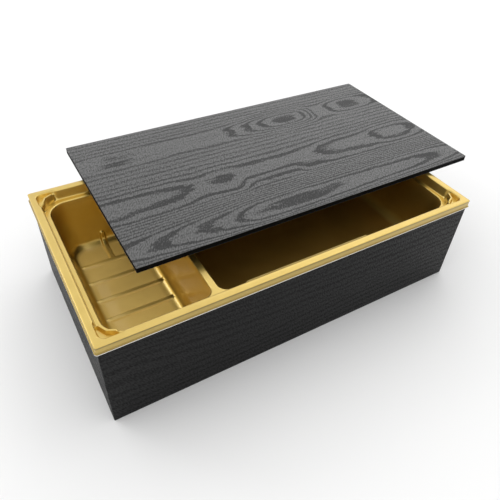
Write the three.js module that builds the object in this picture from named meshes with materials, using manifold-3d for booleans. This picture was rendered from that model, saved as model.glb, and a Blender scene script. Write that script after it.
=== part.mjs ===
// Disposable food box: a thermoformed two-compartment tray hung by its rim in a folded foam-board
// frame, with a loose foam-board lid laid on the rim, slid back and to the right.
// Millimetres, +Z up, +X along the long side, +Y from front to back.

import * as THREE from 'three';
import { mergeVertices } from 'three/addons/utils/BufferGeometryUtils.js';
import Module from 'manifold-3d';

const wasm = await Module();
wasm.setup();

// Tray: outline of the rim and of the sheet
const TRAY_LENGTH = 255;
const TRAY_WIDTH = 138;
const SHEET = 0.5;
const RIM_CORNER = 1.2;
const EDGE_EASE = 0.4;
const SKIRT_DROP = 6.3;
const LIP_FLARE = 0.5;
const LIP_HEIGHT = 0.9;

// Tray: the mouth inside the rim and the ledge that carries both compartments
const MOUTH_CORNER = 3.5;
const LEDGE_DEPTH = 6.5;
const LEDGE_CORNER = 13;
const MOUTH_TAPER = 1.2;
const LEDGE_AT_ENDS = 2.5;
const LEDGE_AT_SIDES = 3.8;

// Tray: compartments
const FLOOR_DEPTH = 45;
const SMALL_COMPARTMENT = 60.2;
const DIVIDER = 4.2;
const COMPARTMENT_CORNER = 12;
const DIVIDER_CORNER = 6.5;
const CORNER_CLOSING = 0.35;
const DRAFT_DEGREES = 8;
const FLOOR_FILLET = 8;

// Tray: stiffening ribs in the floor of the small compartment
const RIB_COUNT = 5;
const RIB_PITCH = 17;
const RIB_WIDTH = 4.6;
const RIB_HEIGHT = 1.2;
const RIB_FLANK = 0.8;
const WALL_RIB_TOP = 35;

// Tray: corner lugs and the long beads that snap an inner cover under the rim
const NOTCH_ARM = 12;
const NOTCH_DEPTH = 2.6;
const NOTCH_CORNER = 2.2;
const LUG_SETBACK = 3;
const LUG_ARM = 11;
const LUG_THICKNESS = 1.5;
const LUG_BELOW_RIM = 0.6;
const BEAD_LENGTH = 85;
const BEAD_OUT = 1.2;
const BEAD_TOP = 0.5;
const BEAD_HEIGHT = 2.8;

// Frame: foam boards laminated to one grain film that folds at the corners
const FRAME_HEIGHT = 66.2;
const BOARD = 2;
const FILM = 0.2;
const GLUE_LINE = 0.05;
const FOLD_GAP = 0.2;
const FILM_LIFT = 0.3;
const SEAM = 0.3;
const GLUE_BEAD = 3;
const GLUE_START = 5;
const GLUE_BELOW_TOP = 13;

// Fits between the loose pieces
const FIT = 0.3;
const CHANNEL_SLACK = 1.05;
const LID_REST = 0.3;

// Lid: foam board between two films, and where it lies from its closed place
const LID_BOARD = 3;
const LID_SHIFT_X = 35.4;
const LID_SHIFT_Y = 37.5;

// Facets of round stretches, and how far a cut runs past the face that it opens
const CORNER_STEPS = 7;
const FILLET_STEPS = 4;
const OVERRUN = 1;

const RIM_Z = FRAME_HEIGHT + FIT + SHEET;
const FRAME_INSET = SHEET + FIT;
const BOARD_INSET = FRAME_INSET + FILM + GLUE_LINE;
const RIM_WIDTH = BOARD_INSET + BOARD + CHANNEL_SLACK + SHEET;

// Plans are rectangles { x0, x1, y0, y1 }; a positive margin grows one on every side.
const centredPlan = (length, width) => (
  { x0: -length / 2, x1: length / 2, y0: -width / 2, y1: width / 2 });

const grow = (plan, dx, dy = dx) => (
  { x0: plan.x0 - dx, x1: plan.x1 + dx, y0: plan.y0 - dy, y1: plan.y1 + dy });

// One level of a loft: a rounded rectangle at height z, anticlockwise seen from above. Its two corners
// on the left can have a radius of their own.
function ring(plan, radius, z, leftRadius = radius) {
  const corners = [
    [plan.x1 - radius, plan.y0 + radius, radius, -Math.PI / 2],
    [plan.x1 - radius, plan.y1 - radius, radius, 0],
    [plan.x0 + leftRadius, plan.y1 - leftRadius, leftRadius, Math.PI / 2],
    [plan.x0 + leftRadius, plan.y0 + leftRadius, leftRadius, Math.PI],
  ];
  const points = [];
  for (const [cx, cy, bend, start] of corners) {
    for (let i = 0; i <= CORNER_STEPS; i++) {
      const angle = start + (Math.PI / 2) * (i / CORNER_STEPS);
      points.push([cx + bend * Math.cos(angle), cy + bend * Math.sin(angle), z]);
    }
  }
  return points;
}

// A closed solid through rings of equal count, listed from the lowest to the highest.
function loft(rings) {
  const count = rings[0].length;
  const index = [];
  for (let level = 0; level + 1 < rings.length; level++) {
    for (let i = 0; i < count; i++) {
      const a = level * count + i;
      const b = level * count + (i + 1) % count;
      index.push(a, b, b + count, a, b + count, a + count);
    }
  }
  const top = (rings.length - 1) * count;
  for (let i = 1; i + 1 < count; i++) {
    index.push(0, i + 1, i);
    index.push(top, top + i, top + i + 1);
  }
  const geometry = new THREE.BufferGeometry();
  geometry.setAttribute('position', new THREE.Float32BufferAttribute(rings.flat(2), 3));
  geometry.setIndex(index);
  return toSolid(geometry);
}

function toSolid(geometry) {
  geometry.deleteAttribute('normal');
  geometry.deleteAttribute('uv');
  const merged = mergeVertices(geometry);
  const vertProperties = new Float32Array(merged.attributes.position.array);
  const triVerts = new Uint32Array(merged.index.array);
  return new wasm.Manifold(new wasm.Mesh({ numProp: 3, vertProperties, triVerts }));
}

function toGeometry(solid) {
  const mesh = solid.getMesh();
  const geometry = new THREE.BufferGeometry();
  geometry.setAttribute('position', new THREE.Float32BufferAttribute(mesh.vertProperties, 3));
  geometry.setIndex(new THREE.Uint32BufferAttribute(mesh.triVerts, 1));
  geometry.computeVertexNormals();
  return geometry;
}

const join = (solids) => solids.reduce((sum, solid) => sum.add(solid));

// A flat outline of [x, y] points raised from z = 0 to the given height.
function prism(points, height) {
  const shape = new THREE.Shape(points.map(([x, y]) => new THREE.Vector2(x, y)));
  return new THREE.ExtrudeGeometry(shape, { depth: height, bevelEnabled: false });
}

// A [y, z] section drawn out along X, centred on x = 0.
function bar(section, length) {
  const geometry = prism(section, length).translate(0, 0, -length / 2);
  const axes = new THREE.Matrix4().makeBasis(
    new THREE.Vector3(0, 1, 0), new THREE.Vector3(0, 0, 1), new THREE.Vector3(1, 0, 0));
  return toSolid(geometry.applyMatrix4(axes));
}

// Tray, with z = 0 at the top of the rim.
const rimPlan = centredPlan(TRAY_LENGTH, TRAY_WIDTH);
const mouthPlan = grow(rimPlan, -RIM_WIDTH);
const ledgePlan = grow(mouthPlan, -MOUTH_TAPER);
const pocketField = grow(ledgePlan, -LEDGE_AT_ENDS, -LEDGE_AT_SIDES);
const dividerLeft = pocketField.x0 + SMALL_COMPARTMENT;
const smallPlan = {
  ...pocketField, x1: dividerLeft, leftCorner: COMPARTMENT_CORNER, rightCorner: DIVIDER_CORNER };
const largePlan = {
  ...pocketField, x0: dividerLeft + DIVIDER, leftCorner: DIVIDER_CORNER, rightCorner: COMPARTMENT_CORNER };

// The rim with its turned-down skirt, open below, and a small flare at the trimmed edge.
function rimShell() {
  const bottom = -SKIRT_DROP;
  const flareTop = bottom + LIP_HEIGHT;
  const outside = loft([
    ring(grow(rimPlan, LIP_FLARE), RIM_CORNER + LIP_FLARE, bottom),
    ring(rimPlan, RIM_CORNER, flareTop),
    ring(rimPlan, RIM_CORNER, -EDGE_EASE),
    ring(grow(rimPlan, -EDGE_EASE), RIM_CORNER - EDGE_EASE, 0),
  ]);
  const innerPlan = grow(rimPlan, -SHEET);
  const innerCorner = RIM_CORNER - SHEET;
  const inside = loft([
    ring(grow(innerPlan, LIP_FLARE), innerCorner + LIP_FLARE, bottom - OVERRUN),
    ring(grow(innerPlan, LIP_FLARE), innerCorner + LIP_FLARE, bottom),
    ring(innerPlan, innerCorner, flareTop),
    ring(innerPlan, innerCorner, -SHEET),
  ]);
  return outside.subtract(inside);
}

// The mouth inside the rim, down to the ledge, and the sheet's underside round it.
function mouthHollow() {
  return loft([
    ring(ledgePlan, LEDGE_CORNER, -LEDGE_DEPTH),
    ring(mouthPlan, MOUTH_CORNER, -EDGE_EASE),
    ring(grow(mouthPlan, EDGE_EASE), MOUTH_CORNER + EDGE_EASE, 0),
    ring(grow(mouthPlan, EDGE_EASE), MOUTH_CORNER + EDGE_EASE, OVERRUN),
  ]);
}

function mouthBody() {
  return loft([
    ring(grow(ledgePlan, SHEET), LEDGE_CORNER + SHEET, -LEDGE_DEPTH - SHEET),
    ring(grow(mouthPlan, SHEET), MOUTH_CORNER + SHEET, -SHEET),
    ring(grow(mouthPlan, SHEET), MOUTH_CORNER + SHEET, -SHEET / 2),
  ]);
}

// How far in from the top of a drafted wall the centre of its floor fillet lies.
const draft = THREE.MathUtils.degToRad(DRAFT_DEGREES);
const filletCentre = (depth, fillet) => (
  (fillet + (depth - fillet) * Math.sin(draft)) / Math.cos(draft));

// A drafted compartment with a fillet round its floor. The margin moves walls and floor outwards.
function pocket(plan, margin) {
  const mouth = grow(plan, margin);
  const depth = FLOOR_DEPTH - LEDGE_DEPTH + margin;
  const fillet = FLOOR_FILLET + margin;
  const centre = filletCentre(depth, fillet);
  const level = (inset, below) => {
    const closing = margin - CORNER_CLOSING * inset;
    return ring(
      grow(mouth, -inset), plan.rightCorner + closing, -LEDGE_DEPTH - below, plan.leftCorner + closing);
  };
  const rings = [];
  for (let i = FILLET_STEPS; i >= 0; i--) {
    const angle = draft + (Math.PI / 2 - draft) * (i / FILLET_STEPS);
    const inset = centre - fillet * Math.cos(angle);
    rings.push(level(inset, depth - fillet + fillet * Math.sin(angle)));
  }
  rings.push(level(0, 0));
  rings.push(level(0, -LEDGE_DEPTH / 2));
  return loft(rings);
}

// Cross ribs on the flat of the small compartment's floor. The trim makes the matching grooves on
// the underside.
function crossRibs(trim) {
  const flat = grow(smallPlan, -filletCentre(FLOOR_DEPTH - LEDGE_DEPTH, FLOOR_FILLET));
  const width = RIB_WIDTH - 2 * trim;
  const base = -FLOOR_DEPTH - trim;
  const ribs = [];
  for (let i = 0; i < RIB_COUNT; i++) {
    const y = (i - (RIB_COUNT - 1) / 2) * RIB_PITCH;
    const foot = { x0: flat.x0 + trim, x1: flat.x1 - trim, y0: y - width / 2, y1: y + width / 2 };
    const crest = grow(foot, -RIB_FLANK);
    ribs.push(loft([
      ring(foot, width / 2, base - OVERRUN),
      ring(foot, width / 2, base),
      ring(crest, width / 2 - RIB_FLANK, base + RIB_HEIGHT),
    ]));
  }
  return join(ribs);
}

// Ribs that run from the outermost cross ribs along the floor and up the front and back walls.
function wallRibs(trim) {
  const liner = pocket(smallPlan, trim + OVERRUN).subtract(pocket(smallPlan, trim - RIB_HEIGHT));
  const reach = RIB_PITCH * (RIB_COUNT - 1) / 2;
  const width = RIB_WIDTH - 2 * trim;
  const middle = (smallPlan.x0 + smallPlan.x1) / 2;
  const top = -WALL_RIB_TOP - trim;
  const bottom = -FLOOR_DEPTH - trim - OVERRUN;
  const length = smallPlan.y1 - reach + OVERRUN;
  const zones = [-1, 1].map((side) => {
    const zone = new THREE.BoxGeometry(width, length, top - bottom);
    zone.translate(middle, side * (reach + length / 2), (top + bottom) / 2);
    return toSolid(zone);
  });
  return liner.intersect(join(zones));
}

// The square notch behind each corner lug. The margin gives its underside.
function cornerNotches(margin) {
  const out = CHANNEL_SLACK - FIT + margin;
  const zone = grow(mouthPlan, out);
  const arm = NOTCH_ARM + out + margin;
  const top = margin > 0 ? -SHEET / 2 : OVERRUN;
  const notches = [];
  for (const sx of [-1, 1]) {
    for (const sy of [-1, 1]) {
      const plan = {
        x0: sx < 0 ? zone.x0 : zone.x1 - arm,
        x1: sx < 0 ? zone.x0 + arm : zone.x1,
        y0: sy < 0 ? zone.y0 : zone.y1 - arm,
        y1: sy < 0 ? zone.y0 + arm : zone.y1,
      };
      notches.push(loft([
        ring(plan, NOTCH_CORNER + margin, -NOTCH_DEPTH - margin),
        ring(plan, NOTCH_CORNER + margin, top),
      ]));
    }
  }
  return join(notches);
}

// An L-shaped lug stands in each corner of the mouth and runs out into the walls.
function cornerLugs() {
  const far = LUG_ARM;
  const near = LUG_SETBACK;
  const thick = LUG_THICKNESS;
  const outline = [
    [far, 0], [far, thick], [near + thick, near + thick],
    [thick, far], [0, far], [near, near],
  ];
  const height = LEDGE_DEPTH + SHEET - LUG_BELOW_RIM;
  const lugs = [];
  for (const sx of [-1, 1]) {
    for (const sy of [-1, 1]) {
      const corner = [sx < 0 ? mouthPlan.x0 : mouthPlan.x1, sy < 0 ? mouthPlan.y0 : mouthPlan.y1];
      const points = outline.map(([u, v]) => [corner[0] - sx * u, corner[1] - sy * v]);
      lugs.push(toSolid(prism(points, height).translate(0, 0, -LEDGE_DEPTH - SHEET)));
    }
  }
  return join(lugs);
}

function snapBeads() {
  return join([-1, 1].map((side) => {
    const wall = side * mouthPlan.y1;
    const crest = wall - side * BEAD_OUT;
    const middle = -BEAD_TOP - BEAD_HEIGHT / 2;
    const section = [
      [wall + side * SHEET / 2, -BEAD_TOP],
      [crest, middle],
      [wall + side * SHEET / 2, -BEAD_TOP - BEAD_HEIGHT],
    ];
    return bar(section, BEAD_LENGTH);
  }));
}

function trayGeometry() {
  const outside = join([
    rimShell(), mouthBody(), cornerNotches(SHEET), pocket(smallPlan, SHEET), pocket(largePlan, SHEET),
  ]).subtract(crossRibs(SHEET)).subtract(wallRibs(SHEET));
  const inside = join([mouthHollow(), cornerNotches(0), pocket(smallPlan, 0), pocket(largePlan, 0)])
    .subtract(crossRibs(0)).subtract(wallRibs(0)).subtract(cornerLugs()).subtract(snapBeads());
  return toGeometry(outside.subtract(inside));
}

// Frame, with z = 0 at the lower edges that stand on the table.
const boardPlan = grow(rimPlan, -BOARD_INSET);

// A board whose outer face lies on y = 0, mitred so that its neighbours fold up against it.
function mitredBoard(length) {
  const half = length / 2 - FOLD_GAP;
  return prism([[-half, 0], [half, 0], [half - BOARD, BOARD], [BOARD - half, BOARD]], FRAME_HEIGHT);
}

// The strip of film round the outside. Its ends meet at the right-hand corner behind, and each
// fold takes its own thickness off the outer corner.
function frameFilm() {
  const inner = grow(boardPlan, GLUE_LINE);
  const outer = grow(inner, FILM);
  const seam = inner.x1 - SEAM;
  const strip = [
    [outer.x1, inner.y1],
    [outer.x1, inner.y0], [inner.x1, outer.y0],
    [inner.x0, outer.y0], [outer.x0, inner.y0],
    [outer.x0, inner.y1], [inner.x0, outer.y1],
    [seam, outer.y1], [seam, inner.y1],
    [inner.x0, inner.y1], [inner.x0, inner.y0], [inner.x1, inner.y0], [inner.x1, inner.y1],
  ];
  return prism(strip, FRAME_HEIGHT - FILM_LIFT).translate(0, 0, FILM_LIFT);
}

// A run of glue in the closing corner, a quarter round seen from above.
function glueBead() {
  const shape = new THREE.Shape();
  shape.moveTo(0, 0);
  shape.absarc(0, 0, GLUE_BEAD, Math.PI, Math.PI * 1.5);
  const depth = FRAME_HEIGHT - GLUE_START - GLUE_BELOW_TOP;
  return new THREE.ExtrudeGeometry(shape, { depth, bevelEnabled: false, curveSegments: CORNER_STEPS });
}

const gold = () => new THREE.MeshStandardMaterial({ color: 0xcfa24a, roughness: 0.3, metalness: 0.7 });
const foam = () => new THREE.MeshStandardMaterial({ color: 0x1b1b1c, roughness: 0.85, metalness: 0 });
const grain = () => new THREE.MeshStandardMaterial({ color: 0x3a3a3b, roughness: 0.55, metalness: 0 });
const glue = () => new THREE.MeshStandardMaterial({ color: 0xd8cfb4, roughness: 0.4, metalness: 0 });

function piece(name, geometry, material) {
  const mesh = new THREE.Mesh(geometry, material);
  mesh.name = name;
  return mesh;
}

const frame = new THREE.Group();
const boards = [
  ['frame_front_board', TRAY_LENGTH, 0, boardPlan.y0, 0],
  ['frame_right_board', TRAY_WIDTH, boardPlan.x1, 0, Math.PI / 2],
  ['frame_back_board', TRAY_LENGTH, 0, boardPlan.y1, Math.PI],
  ['frame_left_board', TRAY_WIDTH, boardPlan.x0, 0, -Math.PI / 2],
];
for (const [name, rimSide, x, y, turn] of boards) {
  const board = piece(name, mitredBoard(rimSide - 2 * BOARD_INSET), foam());
  board.position.set(x, y, 0);
  board.rotation.z = turn;
  frame.add(board);
}
frame.add(piece('frame_grain_film', frameFilm(), grain()));
const bead = piece('corner_glue_bead', glueBead(), glue());
bead.position.set(
  boardPlan.x1 - BOARD - GLUE_LINE, boardPlan.y1 - BOARD - GLUE_LINE, GLUE_START);
frame.add(bead);

const tray = piece('tray', trayGeometry(), gold());
tray.position.z = RIM_Z;

// Lid, with z = 0 at its underside, laid on the rim away from its closed place.
const lid = new THREE.Group();
let lidLevel = 0;
const lidLayers = [
  ['lid_backing_film', FILM, grain()],
  ['lid_board', LID_BOARD, foam()],
  ['lid_grain_film', FILM, grain()],
];
for (const [name, thickness, material] of lidLayers) {
  const layer = piece(name, new THREE.BoxGeometry(TRAY_LENGTH, TRAY_WIDTH, thickness), material);
  layer.position.z = lidLevel + thickness / 2;
  lidLevel += thickness + GLUE_LINE;
  lid.add(layer);
}
lid.position.set(LID_SHIFT_X, LID_SHIFT_Y, RIM_Z + LID_REST);

// The origin is the middle of the front board's lower edge.
const foodBox = new THREE.Group();
foodBox.add(frame, tray, lid);
foodBox.position.y = -(boardPlan.y0 + BOARD / 2);

export default foodBox;
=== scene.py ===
import math

import bpy
import numpy as np
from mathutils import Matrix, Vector
from mathutils.geometry import tessellate_polygon


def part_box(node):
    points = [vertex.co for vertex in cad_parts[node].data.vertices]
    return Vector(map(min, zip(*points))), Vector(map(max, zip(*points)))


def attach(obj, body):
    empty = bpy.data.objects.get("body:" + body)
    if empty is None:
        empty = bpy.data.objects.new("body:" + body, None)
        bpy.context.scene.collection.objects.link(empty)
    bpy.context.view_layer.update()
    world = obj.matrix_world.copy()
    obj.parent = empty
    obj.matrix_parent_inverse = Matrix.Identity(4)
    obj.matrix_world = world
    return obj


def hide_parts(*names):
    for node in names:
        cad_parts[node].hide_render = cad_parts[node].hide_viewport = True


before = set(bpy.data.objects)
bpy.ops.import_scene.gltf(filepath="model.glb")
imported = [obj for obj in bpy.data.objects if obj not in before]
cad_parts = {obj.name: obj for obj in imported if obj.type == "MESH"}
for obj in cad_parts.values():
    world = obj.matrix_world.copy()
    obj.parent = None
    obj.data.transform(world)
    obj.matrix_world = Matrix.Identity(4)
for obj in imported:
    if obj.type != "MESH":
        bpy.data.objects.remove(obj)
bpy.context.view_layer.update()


# Frame boards: four panels of black foamed plastic, cut from one strip with V grooves at the folds.
# Their edges are sawn through the foam, so the cells show there as fine pits.
FOAM_DARK = (0.0015, 0.0015, 0.0016)
FOAM_PALE = (0.006, 0.006, 0.0062)
FOAM_ROUGH_IN_PITS = 0.95
FOAM_ROUGH_BETWEEN = 0.72
FOAM_SPECULAR = 0.06
FOAM_CELLS_PER_M = 2400.0
FOAM_CLUMPS_PER_M = 180.0
DENSEST_CLUMP = 0.4
PIT_EDGE = (0.05, 0.6)
PIT_RELIEF = (0.5, 0.00012)
NOISE_SPREAD = (0.3, 0.7)


def blank_finish(name):
    finish = bpy.data.materials.new(name)
    finish.use_nodes = True
    return finish, finish.node_tree, finish.node_tree.nodes["Principled BSDF"]


def add_node(tree, kind, sockets=None, **settings):
    node = tree.nodes.new(kind)
    for setting, value in settings.items():
        setattr(node, setting, value)
    for socket, value in (sockets or {}).items():
        if isinstance(value, bpy.types.NodeSocket):
            tree.links.new(value, node.inputs[socket])
        else:
            node.inputs[socket].default_value = value
    return node


def sums(tree, operation, first, second=0.0):
    return add_node(tree, "ShaderNodeMath", {0: first, 1: second}, operation=operation).outputs[0]


def span(tree, value, low, high, to_low=0.0, to_high=1.0):
    sockets = {"Value": value, "From Min": low, "From Max": high, "To Min": to_low, "To Max": to_high}
    return add_node(tree, "ShaderNodeMapRange", sockets).outputs["Result"]


def between(tree, share, first, second):
    return span(tree, share, 0.0, 1.0, first, second)


def tint(tree, share, first, second):
    mix = add_node(tree, "ShaderNodeMix", data_type="RGBA")
    tree.links.new(share, mix.inputs["Factor"])
    colours = [socket for socket in mix.inputs if socket.type == "RGBA"]
    for socket, colour in zip(colours, (first, second)):
        socket.default_value = (*colour, 1.0)
    return next(socket for socket in mix.outputs if socket.type == "RGBA")


def speckle(tree, per_m, detail=2.0):
    place = add_node(tree, "ShaderNodeTexCoord").outputs["Object"]
    sockets = {"Vector": place, "Scale": per_m, "Detail": detail}
    return add_node(tree, "ShaderNodeTexNoise", sockets).outputs["Fac"]


def relief(tree, height, strength, depth, **under):
    sockets = {"Height": height, "Strength": strength, "Distance": depth, **under}
    return add_node(tree, "ShaderNodeBump", sockets).outputs["Normal"]


foam, tree, shader = blank_finish("black_foam_board")
place = add_node(tree, "ShaderNodeTexCoord").outputs["Object"]
cells = add_node(tree, "ShaderNodeTexVoronoi", {"Vector": place, "Scale": FOAM_CELLS_PER_M})
pits = span(tree, cells.outputs["Distance"], *PIT_EDGE)
clumps = span(tree, speckle(tree, FOAM_CLUMPS_PER_M, detail=3.0), *NOISE_SPREAD, DENSEST_CLUMP, 1.0)
shade = sums(tree, "MULTIPLY", pits, clumps)
roughness = between(tree, shade, FOAM_ROUGH_IN_PITS, FOAM_ROUGH_BETWEEN)
tree.links.new(tint(tree, shade, FOAM_DARK, FOAM_PALE), shader.inputs["Base Color"])
tree.links.new(roughness, shader.inputs["Roughness"])
tree.links.new(relief(tree, pits, *PIT_RELIEF), shader.inputs["Normal"])
shader.inputs["Specular IOR Level"].default_value = FOAM_SPECULAR

for name in ("frame_front_board", "frame_right_board", "frame_back_board", "frame_left_board"):
    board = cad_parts[name]
    board.data.materials.clear()
    board.data.materials.append(foam)


# Frame film: one strip of black film, printed and embossed as wood, laminated to the four boards.
# It wraps the frame from the closing corner round three folds and back, and its grain runs along it.
MM = 0.001
FILM = 0.2
FILM_EASE = 0.06
FOLD_RADIUS = 0.7
FOLD_STEPS = 6
SEAM = 0.3
FRAME_PRINT_PALE = (0.01, 0.01, 0.0101)
FRAME_PRINT_DARK = (0.0008, 0.0008, 0.0009)
FRAME_PRINT_GLOSS = 0.17
FRAME_PRINT_DEPTH = 0.4


def quads_between(rings, count, first=0):
    """Faces between closed rings of points that are listed one ring after another."""
    quads = []
    for ring in range(rings - 1):
        for i in range(count):
            a, b = first + ring * count + i, first + ring * count + (i + 1) % count
            quads.append((a, b, b + count, a + count))
    return quads


def put_in_place(name, points, faces, finish, smooth_below=35.0):
    mesh = bpy.data.meshes.new(name)
    mesh.from_pydata([tuple(point) for point in points], [], [tuple(face) for face in faces])
    mesh.validate()
    mesh.shade_smooth()
    mesh.set_sharp_from_angle(angle=math.radians(smooth_below))
    mesh.materials.append(finish)
    piece = bpy.data.objects.new(name, mesh)
    bpy.context.scene.collection.objects.link(piece)
    return piece


def run_of_grain(piece, along, across):
    run = np.stack([along, across, np.zeros(len(along))], 1)
    store = piece.data.attributes.new("run_of_grain", "FLOAT_VECTOR", "POINT")
    store.data.foreach_set("vector", run.astype(np.float32).ravel())


def drawn_curve(tree, value, points):
    """A curve through (place, height) points, as a draughtsman's spline would lie."""
    places, heights = zip(*points)
    low, high = min(heights), max(heights)
    node = add_node(tree, "ShaderNodeFloatCurve", {"Value": span(tree, value, places[0], places[-1])})
    line = node.mapping.curves[0]
    shares = [((x - places[0]) / (places[-1] - places[0]), (y - low) / (high - low)) for x, y in points]
    line.points[0].location, line.points[1].location = shares[0], shares[-1]
    for share in shares[1:-1]:
        line.points.new(*share)
    for point in line.points:
        point.handle_type = "AUTO_CLAMPED"
    node.mapping.update()
    return between(tree, node.outputs["Value"], low, high)


# Wood print, which the lid shares. Streaks are given as (waves per mm along the grain, across it).
# A ring darkens late in its year, its ink comes in patches, and a slanted hatch is embossed over all.
RING_WAVERS = (((0.04, 0.11), 0.5), ((0.04, 0.5), 0.35), ((0.2, 0.5), 0.22), ((0.7, 1.3), 0.14))
RING_DARKENS = (0.48, 0.7)
RING_ENDS = (1.0, 0.94)
RING_INK = 0.46
RIDGE_INK = 0.4
LEAST_INK = 0.2
INK_PATCHES = (0.03, 0.16)
INK_PATCH_SWING = 0.8
RIDGE_SHOULDER = 1.3
FIBRES = (0.018, 0.8)
FIBRE_EDGE = (0.52, 0.72)
FIBRE_INK = 0.22
GROUND_INK = 0.3
HATCH = (0.5, 1.3)
HATCH_SLANT = math.radians(-62.0)
HATCH_INK = 2.8
ROUGH_BESIDE_INK = 0.4
ROUGH_ON_INK = 0.72
EMBOSS_RELIEF = (0.4, 0.00012)


def wood_film(name, pale, dark, gloss, depth_of_print, across, ridges):
    """Wood print. Its lines are the growth rings that a saw cut meets: level lines of a height, counted
    in years, which follows one curve across the board and is lifted along each ridge (place across,
    width, lift along the board), so that rings close into loops there."""
    finish, tree, shader = blank_finish(name)
    run = add_node(tree, "ShaderNodeAttribute", attribute_name="run_of_grain").outputs["Vector"]
    split = add_node(tree, "ShaderNodeSeparateXYZ", {0: run})
    along, over = (sums(tree, "MULTIPLY", split.outputs[axis], 1.0 / MM) for axis in ("X", "Y"))

    def streaks(waves_per_mm, detail=1.0, vector=run):
        scale = (waves_per_mm[0] / MM, waves_per_mm[1] / MM, 1.0)
        scaled = add_node(tree, "ShaderNodeVectorMath", {0: vector, 1: scale}, operation="MULTIPLY")
        sockets = {"Vector": scaled.outputs[0], "Scale": 1.0, "Detail": detail}
        return add_node(tree, "ShaderNodeTexNoise", sockets).outputs["Fac"]

    def swing(noise, amount):
        return sums(tree, "MULTIPLY", sums(tree, "SUBTRACT", noise, 0.5), amount)

    def smooth(value, start, end):
        return add_node(
            tree, "ShaderNodeMapRange", {"Value": value, "From Min": start, "From Max": end},
            interpolation_type="SMOOTHSTEP").outputs["Result"]

    years = drawn_curve(tree, over, across)
    near_ridge = None
    for place, width, lift in ridges:
        share = sums(tree, "DIVIDE", sums(tree, "SUBTRACT", over, place), width)
        fall = sums(tree, "POWER", sums(tree, "MULTIPLY", share, share), RIDGE_SHOULDER)
        bell = sums(tree, "EXPONENT", sums(tree, "MULTIPLY", fall, -1.0))
        years = sums(tree, "ADD", years, sums(tree, "MULTIPLY", bell, drawn_curve(tree, along, lift)))
        near_ridge = bell if near_ridge is None else sums(tree, "MAXIMUM", near_ridge, bell)
    for waves_per_mm, amount in RING_WAVERS:
        years = sums(tree, "ADD", years, swing(streaks(waves_per_mm), amount))

    season = sums(tree, "FRACT", years)
    late = sums(tree, "MULTIPLY", smooth(season, *RING_DARKENS), smooth(season, *RING_ENDS))
    strength = sums(tree, "ADD", sums(tree, "MULTIPLY", near_ridge, RIDGE_INK), RING_INK)
    strength = sums(tree, "ADD", strength, swing(streaks(INK_PATCHES), INK_PATCH_SWING))
    late = sums(tree, "MULTIPLY", late, span(tree, strength, LEAST_INK, 1.0, LEAST_INK, 1.0))
    fibre = smooth(streaks(FIBRES), *FIBRE_EDGE)
    lines = sums(tree, "MAXIMUM", late, sums(tree, "MULTIPLY", fibre, FIBRE_INK))
    lines = sums(tree, "MULTIPLY", lines, depth_of_print)

    turned = add_node(
        tree, "ShaderNodeVectorRotate", {"Vector": run, "Angle": HATCH_SLANT}, rotation_type="Z_AXIS")
    hatch = streaks(HATCH, detail=2.0, vector=turned.outputs["Vector"])
    ink = sums(tree, "ADD", sums(tree, "ADD", lines, GROUND_INK), swing(hatch, HATCH_INK))
    emboss = sums(tree, "SUBTRACT", hatch, lines)
    tree.links.new(tint(tree, ink, pale, dark), shader.inputs["Base Color"])
    tree.links.new(between(tree, ink, ROUGH_BESIDE_INK, ROUGH_ON_INK), shader.inputs["Roughness"])
    tree.links.new(relief(tree, emboss, *EMBOSS_RELIEF), shader.inputs["Normal"])
    shader.inputs["Specular IOR Level"].default_value = gloss
    return finish


low, high = (np.array(corner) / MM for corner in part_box("frame_grain_film"))
fold_centres = [
    (high[0] - FOLD_RADIUS, low[1] + FOLD_RADIUS, 0.0),
    (low[0] + FOLD_RADIUS, low[1] + FOLD_RADIUS, -90.0),
    (low[0] + FOLD_RADIUS, high[1] - FOLD_RADIUS, -180.0),
]
strip = [((high[0], high[1] - FILM), (1.0, 0.0))]
for x, y, start in fold_centres:
    for step in range(FOLD_STEPS + 1):
        turn = math.radians(start - 90.0 * step / FOLD_STEPS)
        facing = (math.cos(turn), math.sin(turn))
        strip.append(((x + FOLD_RADIUS * facing[0], y + FOLD_RADIUS * facing[1]), facing))
strip.append(((high[0] - FILM - SEAM, high[1]), (0.0, 1.0)))

section = [
    (0.0, low[2] + FILM_EASE), (0.0, high[2] - FILM_EASE),
    (-FILM_EASE, high[2]), (FILM_EASE - FILM, high[2]),
    (-FILM, high[2] - FILM_EASE), (-FILM, low[2] + FILM_EASE),
    (FILM_EASE - FILM, low[2]), (-FILM_EASE, low[2]),
]
points, along, across, travelled = [], [], [], 0.0
for station, ((x, y), facing) in enumerate(strip):
    if station:
        travelled += math.dist(strip[station - 1][0], (x, y))
    for out, z in section:
        points.append((x + out * facing[0], y + out * facing[1], z))
        along.append(travelled)
        across.append(z)
count = len(section)
faces = [(a, d, c, b) for a, b, c, d in quads_between(len(strip), count)]
faces.append(tuple(range(count)))
faces.append(tuple(reversed(range((len(strip) - 1) * count, len(strip) * count))))

frame_years = [
    (0.0, 0.0), (10.0, 2.4), (19.0, 4.3), (27.0, 6.1), (38.0, 8.4), (47.0, 10.1), (56.0, 12.2), (66.2, 14.0)]
upper_waves = [
    (0.0, 0.3), (137.0, 0.6), (240.0, 0.1), (300.0, -0.4), (350.0, -1.6), (391.0, -2.6), (460.0, -1.4),
    (528.0, 0.2), (610.0, 1.8), (660.0, 2.4), (720.0, 0.8), (782.0, 0.3)]
lower_waves = [
    (0.0, 0.0), (70.0, 0.9), (137.0, 0.2), (210.0, -0.5), (290.0, 0.4), (391.0, 0.1), (450.0, 1.2),
    (540.0, 0.2), (700.0, -0.9), (782.0, 0.0)]
frame_film_finish = wood_film(
    "black_wood_film", FRAME_PRINT_PALE, FRAME_PRINT_DARK, FRAME_PRINT_GLOSS, FRAME_PRINT_DEPTH, frame_years,
    [(46.0, 17.0, upper_waves), (14.0, 12.0, lower_waves)])
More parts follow.
